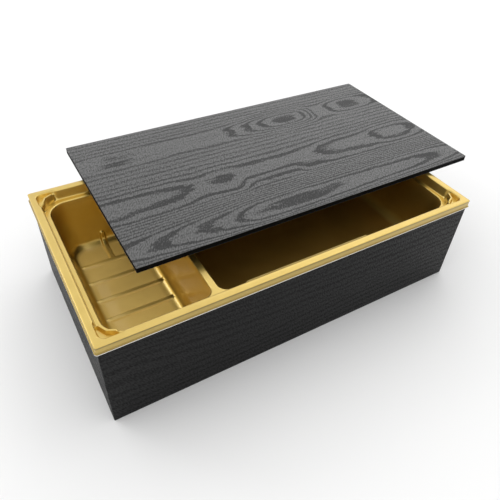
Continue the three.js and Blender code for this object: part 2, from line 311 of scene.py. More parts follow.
frame_film = put_in_place("frame_wood_film", np.array(points) * MM, faces, frame_film_finish)
run_of_grain(frame_film, np.array(along) * MM, np.array(across) * MM)
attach(frame_film, "frame")
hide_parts("frame_grain_film")


# Glue: a run of hot melt laid up the inside of the closing corner, where the strip's two ends meet.
# It cools in soft beads, so it swells and thins along its length and rounds off at both ends.
GLUE_STEPS = 46
GLUE_FACETS = 9
GLUE_BODY = 0.84
GLUE_SWELLS = ((0.1, 23.0, 0.0), (0.06, 61.0, 0.7))
GLUE_END_POWER = 16
GLUE_END_LEAST = 0.02
GLUE_DARK = (0.5, 0.42, 0.27)
GLUE_PALE = (0.7, 0.63, 0.47)
GLUE_ROUGH = (0.3, 0.48)
GLUE_CLOUDS_PER_M = 420.0
GLUE_RELIEF = (0.3, 0.0003)

low, high = (np.array(corner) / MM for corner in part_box("corner_glue_bead"))
bead = high[0] - low[0]
points = []
for step in range(GLUE_STEPS + 1):
    share = step / GLUE_STEPS
    ends = math.sqrt(max(GLUE_END_LEAST, 1.0 - (2.0 * share - 1.0) ** GLUE_END_POWER))
    swell = GLUE_BODY + sum(size * math.sin(rate * share + start) for size, rate, start in GLUE_SWELLS)
    radius = bead * swell * ends
    z = low[2] + (high[2] - low[2]) * share
    points.append((high[0], high[1], z))
    for facet in range(GLUE_FACETS):
        turn = math.radians(180.0 + 90.0 * facet / (GLUE_FACETS - 1))
        points.append((high[0] + radius * math.cos(turn), high[1] + radius * math.sin(turn), z))
count = GLUE_FACETS + 1
faces = quads_between(GLUE_STEPS + 1, count)
faces.append(tuple(reversed(range(count))))
faces.append(tuple(range(GLUE_STEPS * count, (GLUE_STEPS + 1) * count)))

glue, tree, shader = blank_finish("cold_hot_melt")
cloud = speckle(tree, GLUE_CLOUDS_PER_M, detail=3.0)
shade = tint(tree, span(tree, cloud, *NOISE_SPREAD), GLUE_DARK, GLUE_PALE)
tree.links.new(shade, shader.inputs["Base Color"])
tree.links.new(span(tree, cloud, *NOISE_SPREAD, *GLUE_ROUGH), shader.inputs["Roughness"])
tree.links.new(relief(tree, cloud, *GLUE_RELIEF), shader.inputs["Normal"])
glue_run = put_in_place("corner_glue_run", np.array(points) * MM, faces, glue, smooth_below=50.0)
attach(glue_run, "frame")
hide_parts("corner_glue_bead")


# Tray: one sheet of gold-faced plastic, vacuum formed hot over a mould and trimmed round its skirt.
# The rim hooks over the frame's top edge. Inside it come a wall with lugs in its corners and a snap
# bead on each long side, a ledge, and two compartments with a divider at the level of the ledge.
TRAY_HALF = np.array([127.5, 69.0])
SHEET = 0.5
SKIRT_DROP = 5.4
LIP_FLARE = 0.5
RIM_WIDTH = 4.6
RIM_CORNER = 1.2
RIM_ROUND = 0.6
RIM_RETURN = 45.0
RIM_CROWN = 0.12
MOUTH_ROUND = 0.6
MOUTH_CORNER = 3.5
MOUTH_TAPER = 1.2
LEDGE_DEPTH = 6.5
LEDGE_CORNER = 13.0
LEDGE_ROUND = 0.5
LEDGE_TUCK = 0.1
FLAT_STRIP = 0.12

low, high = (np.array(corner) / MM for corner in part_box("tray"))
tray_middle = (low + high) / 2.0
rim_top = high[2]

# Everything round the mouth is alike in its four quarters. A quarter runs along half of an end, round
# a corner, seen from the centre of the ledge's corner, and along half of a side.
corner_reach = RIM_WIDTH + MOUTH_TAPER + LEDGE_CORNER
corner_centre = TRAY_HALF - corner_reach
eighth = [0, 2, 4, 5, 6, 7, 8, 9, 10, 11, 12, 13, 14, 15, 16, 17.5, 19, 21, 24, 27, 30, 33, 36, 38.5, 40.5,
          42, 43, 43.6, 44.1, 44.5, 45]
turn = np.radians(eighth + [90 - angle for angle in reversed(eighth[:-1])])
cosine, sine = np.cos(turn), np.sin(turn)
end_run = np.array([0.0, 12.0, 24.0, 36.0, 46.0])
side_run = np.array([104, 90, 75, 60, 50, 46, 44.4, 43.6, 43, 42.4, 41.6, 40.6, 39, 36, 28, 18, 8, 0], float)


def corner_line(inset, radius):
    reach = corner_reach - inset
    radius = min(radius, reach)
    centre = reach - radius
    straight = reach / np.maximum(cosine, sine)
    ahead = centre * (cosine + sine)
    arc = ahead + np.sqrt(np.maximum(ahead ** 2 - 2.0 * centre ** 2 + radius ** 2, 0.0))
    return np.where(straight * np.minimum(cosine, sine) <= centre, straight, arc)


def whole_ring(inset, z, reach, reach_z=None, side_inset=None):
    """A closed line round the tray from its quarter, anticlockwise seen from above."""
    reach_z = np.full(len(turn), z) if reach_z is None else reach_z
    side_inset = np.full(len(side_run), inset) if side_inset is None else side_inset
    end_x = np.full(len(end_run), TRAY_HALF[0] - inset)
    x = np.concatenate([end_x, corner_centre[0] + reach * cosine, side_run])
    y = np.concatenate([end_run, corner_centre[1] + reach * sine, TRAY_HALF[1] - side_inset])
    height = np.concatenate([np.full(len(end_run), z), reach_z, np.full(len(side_run), z)])
    quarter = np.stack([x, y, height], 1)
    back = quarter[::-1]
    return np.concatenate([
        quarter, back[1:] * (-1, 1, 1), quarter[1:] * (-1, -1, 1), back[1:-1] * (1, -1, 1)])


# The skirt, as (inset, height above its lip), its rounded edge, and the rim's slight crown, as
# (inset, share of the crown's fall, corner radius).
rings = []
skirt_inset = RIM_ROUND * (1.0 - math.cos(math.radians(RIM_RETURN)))
lip = [(-LIP_FLARE, 0.0), (-0.3, 0.0), (-0.02, 0.04), (0.12, 0.18), (skirt_inset, 0.4), (skirt_inset, 3.4)]
for inset, above in lip:
    z = SHEET - SKIRT_DROP + above
    rings.append(whole_ring(inset, z, corner_line(inset, RIM_CORNER - inset)))
for angle in np.radians([-RIM_RETURN, -30, -15, 0, 18, 36, 54, 70, 82]):
    inset = RIM_ROUND * (1.0 - math.cos(angle))
    z = RIM_ROUND * (math.sin(angle) - 1.0) - RIM_CROWN
    rings.append(whole_ring(inset, z, corner_line(inset, RIM_CORNER - inset)))
for inset, fall, corner in ((1.3, 0.35, 0.9), (2.0, 0.05, 1.2), (2.7, 0.05, 1.6), (3.4, 0.35, 2.2)):
    rings.append(whole_ring(inset, -RIM_CROWN * fall, corner_line(inset, corner)))

# Corner lugs: an L-shaped ridge stands inside each corner behind a shallow groove, and its two arms
# run into the walls. Covers and stacked trays locate on them.
NOTCH_OUT = 0.75
NOTCH_CORNER = 4.2
NOTCH_DEPTH = 3.2
NOTCH_FADES = (10.8, 12.6)
LUG_TOP = 0.4
LUG_ARM = 11.0
LUG_SETBACK = 3.4
LUG_HALF = 0.8
LUG_FADES = (7.4, 11.0)
LUG_BEND = math.radians(1.0)
LUG_CREST = 0.55
LUG_FLANK = 1.35
LUG_BACK = 1.2
LUG_FOOT_LEAST = 0.1

mouth_line = corner_line(RIM_WIDTH, MOUTH_CORNER)
from_corner = corner_reach - RIM_WIDTH - mouth_line * np.minimum(cosine, sine)


def ease(value, start, end):
    share = np.clip((value - start) / (end - start), 0.0, 1.0)
    return share * share * (3.0 - 2.0 * share)


in_notch = 1.0 - ease(from_corner, *NOTCH_FADES)
in_lug = 1.0 - ease(from_corner, *LUG_FADES)
edge = mouth_line + in_notch * (corner_line(RIM_WIDTH - NOTCH_OUT, NOTCH_CORNER) - mouth_line)
mouth_reach = corner_reach - RIM_WIDTH
arm_end = np.array([mouth_reach - LUG_HALF, mouth_reach - LUG_ARM])
arm_root = np.full(2, mouth_reach - LUG_SETBACK - LUG_HALF)
arm = arm_root - arm_end
from_diagonal = math.pi / 4 - np.sqrt(np.abs(turn - math.pi / 4) ** 2 + LUG_BEND ** 2)
ridge = (arm_end[0] * arm[1] - arm_end[1] * arm[0]) / (
    np.cos(from_diagonal) * arm[1] - np.sin(from_diagonal) * arm[0])
gap = edge - ridge
crest = np.minimum(LUG_CREST, 0.2 * gap)
foot = np.minimum(LUG_FLANK, 0.5 * gap)
ledge_inset = RIM_WIDTH + MOUTH_TAPER + LEDGE_ROUND - LEDGE_TUCK
ledge_start = corner_line(ledge_inset, LEDGE_CORNER)
lug_inside = ridge - LUG_BACK
lug_foot = np.maximum(lug_inside - ledge_start, LUG_FOOT_LEAST)
lug_profile = [
    (edge + 0.6, -RIM_CROWN), (edge + 0.18, -0.25), (edge, -0.6), (edge - 0.05 * gap, -1.6),
    (edge - 0.12 * gap, -2.35), (edge - 0.22 * gap, -NOTCH_DEPTH), (ridge + foot, -NOTCH_DEPTH),
    (ridge + foot * 0.8, -2.3), (ridge + foot * 0.25 + crest * 0.75, -1.2), (ridge + crest, -LUG_TOP - 0.15),
    (ridge + 0.1 * crest, -LUG_TOP), (ridge - 0.4, -LUG_TOP - 0.1), (ridge - 0.7, -1.5),
    (ridge - 0.95, -3.4), (lug_inside, -5.5), (ledge_start + 0.7 * lug_foot, -6.1),
    (ledge_start + 0.35 * lug_foot, -6.4), (ledge_start, -LEDGE_DEPTH),
]

# The plain wall between the lugs, with a snap bead pressed into each long side. It turns over from
# the rim at its top, and into the ledge at its foot. Each of its levels meets one of the lug's.
BEAD_HALF_LENGTH = 42.5
BEAD_END = 0.8
BEAD_OUT = 1.2
BEAD_TOP = 0.5
BEAD_RISE = 0.45
BEAD_CREST = 1.2
BEAD_FOOT = 3.3
MOUTH_TURN = (0.6, 0.18)
LEDGE_TURN = (0.77, 0.47, 0.0)

wall_z = [-RIM_CROWN, -0.25, -0.6, -0.9, -1.2, -1.5, -1.9, -2.3, -2.6, -2.9, -3.2, -3.8, -4.5, -5.3, -6.0,
          -6.27, -6.44, -LEDGE_DEPTH]
bead_ends = 1.0 - ease(side_run, BEAD_HALF_LENGTH - BEAD_END, BEAD_HALF_LENGTH + BEAD_END)
for level, (z, (lug_reach, lug_z)) in enumerate(zip(wall_z, lug_profile)):
    depth_share = -z / LEDGE_DEPTH
    inset = RIM_WIDTH + MOUTH_TAPER * max(0.0, (-z - MOUTH_ROUND) / (LEDGE_DEPTH - MOUTH_ROUND))
    if level < len(MOUTH_TURN):
        inset -= MOUTH_TURN[level]
    into_ledge = level - len(wall_z) + len(LEDGE_TURN)
    if into_ledge >= 0:
        inset = ledge_inset - LEDGE_ROUND * LEDGE_TURN[into_ledge]
    plain = corner_line(inset, MOUTH_CORNER + (LEDGE_CORNER - MOUTH_CORNER) * depth_share)
    plain = plain + (edge - mouth_line) * (1.0 - depth_share)
    reach = plain + in_lug * (lug_reach - plain)
    reach_z = z + in_lug * (lug_z - z)
    swell = BEAD_OUT * ease(-z, BEAD_TOP, BEAD_TOP + BEAD_RISE) * (1.0 - ease(-z, BEAD_CREST, BEAD_FOOT))
    rings.append(whole_ring(inset, z, reach, reach_z, inset + swell * bead_ends))
ledge_flat = ledge_inset + FLAT_STRIP
rings.append(whole_ring(ledge_flat, -LEDGE_DEPTH, corner_line(ledge_flat, LEDGE_CORNER)))

sheet_points = [point for ring in rings for point in ring]
count = len(rings[0])
sheet_faces = quads_between(len(rings), count)
ledge_loops = [list(range((len(rings) - 1) * count, len(rings) * count))]

# Compartments: drawn down from the ledge, with a rounded upper edge, drafted walls so that the tray
# leaves its mould, wide corners that close a little downwards, and a broad fillet to the floor.
LEDGE_AT_ENDS = 2.5
LEDGE_AT_SIDES = 3.8
FLOOR_DEPTH = 45.0
SMALL_COMPARTMENT = 60.2
DIVIDER = 4.2
COMPARTMENT_CORNER = 12.0
DIVIDER_CORNER = 6.5
CORNER_CLOSING = 0.35
DRAFT = math.radians(8.0)
FLOOR_FILLET = 8.0
FILLET_LEVELS = 9
TOP_ROUND = 0.8
TOP_LEVELS = 6
ARC_STEPS = 6
FLOOR_MARGIN = 2.5
PLATE_BORDER = 1.5
THIRDS = (0.34, 0.67, 1.0)
IN_CORNER = 4


def compartment_levels(wall_depths):
    """(inset, depth, tilt) down a wall. The tilt is 0 where the sheet lies flat and grows as it stands up."""
    depth = FLOOR_DEPTH - LEDGE_DEPTH
    start = TOP_ROUND * math.tan((math.pi / 2 - DRAFT) / 2)
    levels = [(-start - FLAT_STRIP, 0.0, 0.0)]
    for angle in np.linspace(0.0, math.pi / 2 - DRAFT, TOP_LEVELS):
        levels.append((TOP_ROUND * math.sin(angle) - start, TOP_ROUND * (1.0 - math.cos(angle)), angle))
    levels += [(below * math.tan(DRAFT), below, math.pi / 2 - DRAFT) for below in wall_depths]
    centre = (FLOOR_FILLET + (depth - FLOOR_FILLET) * math.sin(DRAFT)) / math.cos(DRAFT)
    for angle in np.linspace(DRAFT, math.pi / 2, FILLET_LEVELS):
        levels.append((
            centre - FLOOR_FILLET * math.cos(angle),
            depth - FLOOR_FILLET + FLOOR_FILLET * math.sin(angle), math.pi / 2 - angle))
    return levels


def compartment(x0, x1, left_corner, right_corner, x_marks, y_marks, wall_depths, floor_relief, wall_relief):
    """Adds one compartment to the sheet. The marks are offsets from its middle where lines have to run."""
    first = len(sheet_points)
    middle = np.array([(x0 + x1) / 2, 0.0])
    half = np.array([(x1 - x0) / 2, field[1]])
    levels = compartment_levels(wall_depths)
    floor_inset = levels[-1][0]
    floor_half = half - floor_inset
    plate = floor_half - FLOOR_MARGIN
    inwards = np.array([(0, 1), (-1, 0), (0, -1), (1, 0), (0, 0)])

    def line_offsets(marks, low_end, high_end):
        halves = []
        for end in (low_end, high_end):
            beyond = [marks[-1] + (end - marks[-1]) * share for share in THIRDS]
            halves.append(list(marks) + beyond)
        return np.array([-value for value in reversed(halves[0]) if value > 0] + halves[1])

    def outline(inset):
        size = half - inset
        left, right = (corner - CORNER_CLOSING * inset for corner in (left_corner, right_corner))
        x_run = line_offsets(x_marks, size[0] - left, size[0] - right)
        right_run = line_offsets(y_marks, size[1] - right, size[1] - right)
        left_run = line_offsets(y_marks, size[1] - left, size[1] - left)
        straights = [
            [(x, -size[1]) for x in x_run], [(size[0], y) for y in right_run],
            [(x, size[1]) for x in x_run[::-1]], [(-size[0], y) for y in left_run[::-1]]]
        corners = ((1, -1, right), (1, 1, right), (-1, 1, left), (-1, -1, left))
        loop, sides = [], []
        for side, (sx, sy, radius) in enumerate(corners):
            loop += straights[side]
            sides += [side] * len(straights[side])
            for step in range(1, 2 * ARC_STEPS):
                angle = math.pi / 2 * (side - 1 + step / (2 * ARC_STEPS))
                loop.append((sx * (size[0] - radius) + radius * math.cos(angle),
                             sy * (size[1] - radius) + radius * math.sin(angle)))
                sides.append(IN_CORNER)
        return np.array(loop), np.array(sides)

    for inset, depth, tilt in levels:
        loop, sides = outline(inset)
        z = np.full(len(loop), -LEDGE_DEPTH - depth)
        flat_loop = loop + middle
        if inset == floor_inset:
            z = z + floor_relief(loop[:, 0], loop[:, 1])
        else:
            along = np.where(sides % 2 == 0, loop[:, 0], loop[:, 1])
            raised = wall_relief(sides, along, z, floor_inset - inset)
            flat_loop = flat_loop + inwards[sides] * (raised * math.sin(tilt))[:, None]
            z = z + raised * math.cos(tilt)
        sheet_points.extend(np.column_stack([flat_loop, z]))
    count = len(loop)
    sheet_faces.extend(quads_between(len(levels), count, first))
    ledge_loops.append([first + i for i in range(count)])

    # The floor inside the fillet: a frame of quads from the rounded outline to a square plate of lines.
    left, right = (corner - CORNER_CLOSING * floor_inset for corner in (left_corner, right_corner))
    lines = []
    for axis, marks, radii in ((0, x_marks, (left, right)), (1, y_marks, (max(left, right),) * 2)):
        ends = [min(floor_half[axis] - radius, plate[axis] - PLATE_BORDER) for radius in radii]
        outer = [end + (plate[axis] - end) * np.arange(1, ARC_STEPS + 1) / ARC_STEPS for end in ends]
        lines.append(np.concatenate([-outer[0][::-1], line_offsets(marks, *ends), outer[1]]))
    grid_first = len(sheet_points)
    columns, rows = len(lines[0]), len(lines[1])
    grid_x, grid_y = np.meshgrid(lines[0], lines[1])
    grid_z = -FLOOR_DEPTH + floor_relief(grid_x, grid_y)
    sheet_points.extend(np.column_stack([
        grid_x.ravel() + middle[0], grid_y.ravel() + middle[1], grid_z.ravel()]))
    for row in range(rows - 1):
        for column in range(columns - 1):
            a = grid_first + row * columns + column
            sheet_faces.append((a, a + 1, a + 1 + columns, a + columns))
    plate_loop = [grid_first + column for column in range(columns - 1)]
    plate_loop += [grid_first + row * columns + columns - 1 for row in range(rows - 1)]
    plate_loop += [grid_first + (rows - 1) * columns + column for column in range(columns - 1, 0, -1)]
    plate_loop += [grid_first + row * columns for row in range(rows - 1, 0, -1)]
    last = first + (len(levels) - 1) * count
    rim_loop = [last + (i - ARC_STEPS) % count for i in range(count)]
    for i in range(count):
        j = (i + 1) % count
        sheet_faces.append((rim_loop[i], rim_loop[j], plate_loop[j], plate_loop[i]))


# Small compartment: five ribs stiffen its floor and run on into the fillets of its end walls, and a
# middle rib climbs its front and back walls. The large compartment is plain.
RIB_PITCH = 17.0
RIB_HALF = 2.3
RIB_HEIGHT = 1.2
RIB_FLANK = 1.3
RIB_RUN_ON = 1.6
WALL_RIB_TOP = 35.0
RIB_LINES = [0.0, 0.5, 0.9, 1.2, 1.5, 1.8, 2.1, 2.4, 2.8]
RIB_TOP_LINES = (-0.5, 0.1, 0.5, 0.9, 1.3)
SMALL_FLOOR_LINES = [5.0, 8.0]
SMALL_WALL_LINES = [5.0, 11.0, 17.0, 22.0, 26.0]
LARGE_FLOOR_LINES = ([0.0, 20.0, 40.0], [0.0, 15.0, 30.0])
LARGE_WALL_LINES = [4.0, 10.0, 16.0, 22.0, 27.0]


def rib_profile(distance):
    return RIB_HEIGHT * ease(RIB_HALF - distance, 0.0, RIB_FLANK)


def cross_ribs(along, beyond):
    return np.max([rib_profile(np.hypot(beyond, along - rib * RIB_PITCH)) for rib in range(-2, 3)], axis=0)


def small_floor(x, y):
    beyond = np.maximum(2 * RIB_PITCH - np.abs(y), 0.0)
    return np.maximum(cross_ribs(y, np.zeros(np.shape(y))), rib_profile(np.hypot(x, beyond)))


def small_wall(sides, along, z, up_fillet):
    above = np.maximum(z + WALL_RIB_TOP + RIB_HALF, 0.0)
    run_on = np.full(len(along), max(up_fillet - RIB_RUN_ON, 0.0))
    climbing = np.where(sides % 2 == 0, rib_profile(np.hypot(along, above)), cross_ribs(along, run_on))
    return np.where(sides < IN_CORNER, climbing, 0.0)


def plain_floor(x, y):
    return np.zeros(np.shape(x))


def plain_wall(sides, along, z, up_fillet):
    return np.zeros(len(along))


across_ribs = sorted({round(abs(rib * RIB_PITCH + side * line), 3)
                      for rib in range(0, 3) for line in RIB_LINES for side in (-1, 1)
                      if rib * RIB_PITCH + side * line >= 0} | {RIB_PITCH * 0.5, RIB_PITCH * 1.5})
field = TRAY_HALF - RIM_WIDTH - MOUTH_TAPER - np.array([LEDGE_AT_ENDS, LEDGE_AT_SIDES])
divider_left = -field[0] + SMALL_COMPARTMENT
rib_top = WALL_RIB_TOP - LEDGE_DEPTH
compartment(
    -field[0], divider_left, COMPARTMENT_CORNER, DIVIDER_CORNER, RIB_LINES + SMALL_FLOOR_LINES, across_ribs,
    SMALL_WALL_LINES + [rib_top + step for step in RIB_TOP_LINES], small_floor, small_wall)
compartment(
    divider_left + DIVIDER, field[0], DIVIDER_CORNER, COMPARTMENT_CORNER, *LARGE_FLOOR_LINES,
    LARGE_WALL_LINES, plain_floor, plain_wall)

outlines = [[Vector(sheet_points[i]) for i in loop] for loop in ledge_loops]
order = [i for loop in ledge_loops for i in loop]
for corners in tessellate_polygon(outlines):
    a, b, c = (order[i] for i in corners)
    ab = np.array(sheet_points[b]) - sheet_points[a]
    ac = np.array(sheet_points[c]) - sheet_points[a]
    sheet_faces.append((a, b, c) if ab[0] * ac[1] > ab[1] * ac[0] else (a, c, b))

# Gold face: vapour-coated metal under a clear layer, satin, with the slow waves of a sheet drawn hot.
# The coat clouds where the sheet is drawn deep and is dull on the ribbed floor. Painted shade darkens the
# walls, the large floor and the skirt, and painted light brightens the ribbed floor. A change runs between
# two depths below the rim, or distances from the divider or outline.
GOLD_BRIGHT = (0.73, 0.535, 0.155)
GOLD_DEEP = (0.69, 0.495, 0.137)
GOLD_WAVES_PER_M = 75.0
GOLD_WAVE_EDGE = (0.35, 0.65)
GOLD_WAVE_RELIEF = (0.06, 0.0006)
GOLD_PEEL_PER_M = 900.0
GOLD_PEEL_RELIEF = (0.015, 0.00005)
# Painted shade darkens the whole skirt.
SKIRT_PAINTED_SHADE = 0.7
SKIRT_FROM = (0.4, 0.7)
SKIRT_WITHIN = (1.6, 1.2)
# Painted shade: a dark line on the skirt just under the rim's rounded edge.
UNDER_EDGE_PAINTED_SHADE = 0.62
UNDER_EDGE_UP_FROM = (1.9, 1.4)
# Painted shade: a dark line on the skirt just over the lip.
OVER_LIP_PAINTED_SHADE = 0.8
OVER_LIP_FROM = (3.9, 4.3)
# Painted shade darkens the deep walls inside the compartments.
WALLS_PAINTED_SHADE = (0.87, 0.85, 0.76)
WALLS_FROM = (7.5, 14.0)
# Painted shade darkens and warms the large compartment's floor under the lid.
LARGE_FLOOR_PAINTED_SHADE = (0.8, 0.66, 0.5)
FLOORS_FROM = (43.6, 44.9)
# Painted light brightens the colour of the small compartment's ribbed floor.
RIBBED_FLOOR_PAINTED_LIGHT = (1.24, 1.23, 1.24)
RIBBED_FLOOR_FROM = (43.2, 44.5)
LARGE_SIDE = (0.0, 10.0)
SMALL_SIDE = (-9.5, -13.0)
METAL = 0.97
METAL_ON_RIBBED_FLOOR = 0.15
HAZE = 0.32
HAZE_SWING = 0.02
HAZE_ON_FLOORS = 0.54
HAZE_IN_LARGE_FROM = (22.0, 42.0)
HAZE_ADDED_BY_RIBS = 0.06
CLEAR_COAT = 0.5
CLEAR_COAT_HAZE = 0.12
UNCHANGED = (1.0, 1.0, 1.0)


def gold_face():
    finish, tree, shader = blank_finish("gold_sheet")
    waves = speckle(tree, GOLD_WAVES_PER_M)
    peel = speckle(tree, GOLD_PEEL_PER_M)
    place = add_node(tree, "ShaderNodeTexCoord").outputs["Object"]
    at = add_node(tree, "ShaderNodeSeparateXYZ", {0: place}).outputs

    def below_rim(start, full):
        return span(tree, at["Z"], (rim_top - start) * MM, (rim_top - full) * MM)

    def beside_divider(start, full):
        divider_x = tray_middle[0] + divider_left
        return span(tree, at["X"], (divider_x + start) * MM, (divider_x + full) * MM)

    def both(first, second):
        return sums(tree, "MULTIPLY", first, second)

    outer_faces = []
    for axis, middle, half in zip("XY", tray_middle, TRAY_HALF):
        from_middle = sums(tree, "ABSOLUTE", sums(tree, "SUBTRACT", at[axis], middle * MM))
        inside, outside = ((half - within) * MM for within in SKIRT_WITHIN)
        outer_faces.append(span(tree, from_middle, inside, outside))
    skirt = both(sums(tree, "MAXIMUM", *outer_faces), below_rim(*SKIRT_FROM))
    painted_shade_under_edge = both(skirt, below_rim(*UNDER_EDGE_UP_FROM))
    painted_shade_over_lip = both(skirt, below_rim(*OVER_LIP_FROM))
    in_large = beside_divider(*LARGE_SIDE)
    floors = below_rim(*FLOORS_FROM)
    floor_level = below_rim(*RIBBED_FLOOR_FROM)
    ribbed_floor = both(floor_level, beside_divider(*SMALL_SIDE))
    walls = both(below_rim(*WALLS_FROM), sums(tree, "SUBTRACT", 1.0, floor_level))

    face = tint(tree, span(tree, waves, *GOLD_WAVE_EDGE), GOLD_DEEP, GOLD_BRIGHT)
    # The colour carries painted shade on the walls, the large floor, the skirt, under the edge and over the
    # lip, and painted light on the ribbed floor.
    for shade in (tint(tree, walls, UNCHANGED, WALLS_PAINTED_SHADE),
                  tint(tree, both(floors, in_large), UNCHANGED, LARGE_FLOOR_PAINTED_SHADE),
                  tint(tree, ribbed_floor, UNCHANGED, RIBBED_FLOOR_PAINTED_LIGHT),
                  between(tree, skirt, 1.0, SKIRT_PAINTED_SHADE),
                  between(tree, painted_shade_under_edge, 1.0, UNDER_EDGE_PAINTED_SHADE),
                  between(tree, painted_shade_over_lip, 1.0, OVER_LIP_PAINTED_SHADE)):
        face = add_node(tree, "ShaderNodeVectorMath", {0: face, 1: shade}, operation="MULTIPLY").outputs[0]
    tree.links.new(face, shader.inputs["Base Color"])

    clouded = sums(tree, "MAXIMUM", floors, both(below_rim(*HAZE_IN_LARGE_FROM), in_large))
    haze = between(tree, clouded, HAZE, HAZE_ON_FLOORS)
    haze = sums(tree, "ADD", haze, between(tree, ribbed_floor, 0.0, HAZE_ADDED_BY_RIBS))
    haze = sums(tree, "ADD", haze, span(tree, waves, *NOISE_SPREAD, -HAZE_SWING, HAZE_SWING))
    tree.links.new(haze, shader.inputs["Roughness"])
    tree.links.new(between(tree, ribbed_floor, METAL, METAL_ON_RIBBED_FLOOR), shader.inputs["Metallic"])
    shader.inputs["Coat Weight"].default_value = CLEAR_COAT
    shader.inputs["Coat Roughness"].default_value = CLEAR_COAT_HAZE
    slow = relief(tree, waves, *GOLD_WAVE_RELIEF)
    tree.links.new(relief(tree, peel, *GOLD_PEEL_RELIEF, Normal=slow), shader.inputs["Normal"])
    return finish


# The trimmed edge of the skirt shows the sheet's own pale plastic, made paler still as a painted highlight
# along the lip. The face is thickened to a sheet below its gold side.
CORE_DARK = (0.74, 0.71, 0.64)
CORE_PALE = (0.9, 0.88, 0.82)
CORE_ROUGH = (0.45, 0.65)
SAW_MARKS_PER_M = 1500.0
SHARP_OVER = 48.0

core, tree, shader = blank_finish("trimmed_core_with_painted_highlight")
saw = speckle(tree, SAW_MARKS_PER_M)
tree.links.new(tint(tree, span(tree, saw, *NOISE_SPREAD), CORE_DARK, CORE_PALE), shader.inputs["Base Color"])
tree.links.new(span(tree, saw, *NOISE_SPREAD, *CORE_ROUGH), shader.inputs["Roughness"])

moved = (np.array(sheet_points) + (tray_middle[0], tray_middle[1], rim_top)) * MM
draft_sheet = put_in_place("tray_face", moved, sheet_faces, gold_face())
draft_sheet.data.materials.append(core)
thick = draft_sheet.modifiers.new("sheet", "SOLIDIFY")
thick.thickness = SHEET * MM
thick.offset = -1.0
thick.material_offset_rim = 1
thick.use_even_offset = True
thick.use_quality_normals = True
formed = bpy.data.meshes.new_from_object(draft_sheet.evaluated_get(bpy.context.evaluated_depsgraph_get()))
formed.name = "gold_tray"
formed.shade_smooth()
formed.set_sharp_from_angle(angle=math.radians(SHARP_OVER))
tray = bpy.data.objects.new("gold_tray", formed)
bpy.context.scene.collection.objects.link(tray)
bpy.data.objects.remove(draft_sheet)
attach(tray, "tray")
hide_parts("tray")


# Lid: a foam board with wood-grain film on its face and plain black film on its back, die-cut in one
# go, so the three layers share square corners and the film's cut edges show as thin lines.
LID_CORNER = 0.7
LID_CORNER_STEPS = 5
EASE_BEND = 0.3


def cut_layer(name, node, finish, top_ease, bottom_ease, inset=0.0):
    low, high = (np.array(corner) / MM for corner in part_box(node))
    half, middle = (high - low) / 2, (low + high) / 2
    levels = [
        (bottom_ease, low[2]), (bottom_ease * EASE_BEND, low[2] + bottom_ease * EASE_BEND),
        (0.0, low[2] + bottom_ease), (0.0, high[2] - top_ease),
        (top_ease * EASE_BEND, high[2] - top_ease * EASE_BEND), (top_ease, high[2])]
    points = []
    for inward, z in levels:
        straight = half - inset - inward - LID_CORNER
        for sx, sy, begin in ((1, -1, -90), (1, 1, 0), (-1, 1, 90), (-1, -1, 180)):
            for step in range(LID_CORNER_STEPS + 1):
                angle = math.radians(begin + 90.0 * step / LID_CORNER_STEPS)
                x = middle[0] + sx * straight[0] + LID_CORNER * math.cos(angle)
                y = middle[1] + sy * straight[1] + LID_CORNER * math.sin(angle)
                points.append((x, y, z))
    count = len(points) // len(levels)
    faces = quads_between(len(levels), count)
    faces.append(tuple(reversed(range(count))))
    faces.append(tuple(range((len(levels) - 1) * count, len(levels) * count)))
    piece = put_in_place(name, np.array(points) * MM, faces, finish, smooth_below=40.0)
    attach(piece, "lid")
    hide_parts(node)
    centred = np.array(points) - middle
    run_of_grain(piece, centred[:, 0] * MM, centred[:, 1] * MM)
    return piece


lid_core = cut_layer("lid_foam_board", "lid_board", foam, top_ease=0.1, bottom_ease=0.1, inset=0.1)

# Face film: printed with the arched figure of a board sawn near the middle of the log and embossed like
# the frame's; its print is paler than the frame's, partly painted light on the lid's top. Its rings are
# listed as (place, years), across the lid and along ridges.
LID_PRINT_PALE_AND_PAINTED_LIGHT = (0.096, 0.096, 0.0948)
LID_PRINT_DARK = (0.003, 0.003, 0.0029)
LID_PRINT_GLOSS = 0.9
LID_PRINT_DEPTH = 0.9

lid_years = [
    (-69.0, -2.2), (-63.0, -0.4), (-57.0, 0.0), (-50.0, -0.3), (-46.0, -1.0), (-43.0, -1.9), (-40.0, -2.9),
    (-34.0, -5.0), (-30.0, -6.1), (-22.0, -6.75), (-14.0, -7.0), (-7.0, -6.55), (-2.0, -5.8), (4.0, -4.6),
    (13.0, -2.8), (21.0, -1.2), (27.0, -0.3), (32.0, 0.0), (37.5, -0.13), (43.0, -0.05), (48.0, -0.5),
    (55.0, -2.0), (69.0, -5.0)]
front_ovals = [
    (-127.5, 0.15), (-112.5, 0.6), (-101.5, 1.0), (-84.5, 1.6), (-74.5, 2.0), (-58.5, 2.6), (-52.5, 3.0),
    (-39.5, 3.6), (-11.0, 3.78), (17.0, 3.65), (40.0, 3.4), (60.0, 3.3), (80.0, 3.15), (93.0, 3.0),
    (116.0, 2.6), (127.5, 2.2)]
middle_loops = [
    (-127.5, -0.75), (-95.0, -0.62), (-80.0, -0.42), (-67.0, 0.0), (-61.0, 0.1), (-57.0, 0.0),
    (-47.0, -0.12), (-37.0, 0.0), (-28.0, 0.25), (0.0, 0.35), (20.0, 0.2), (29.0, 0.0), (38.0, -0.4),
    (60.0, -0.75), (81.0, -1.0), (88.0, -1.4), (105.0, -1.75), (118.0, -1.4), (127.5, -1.0)]
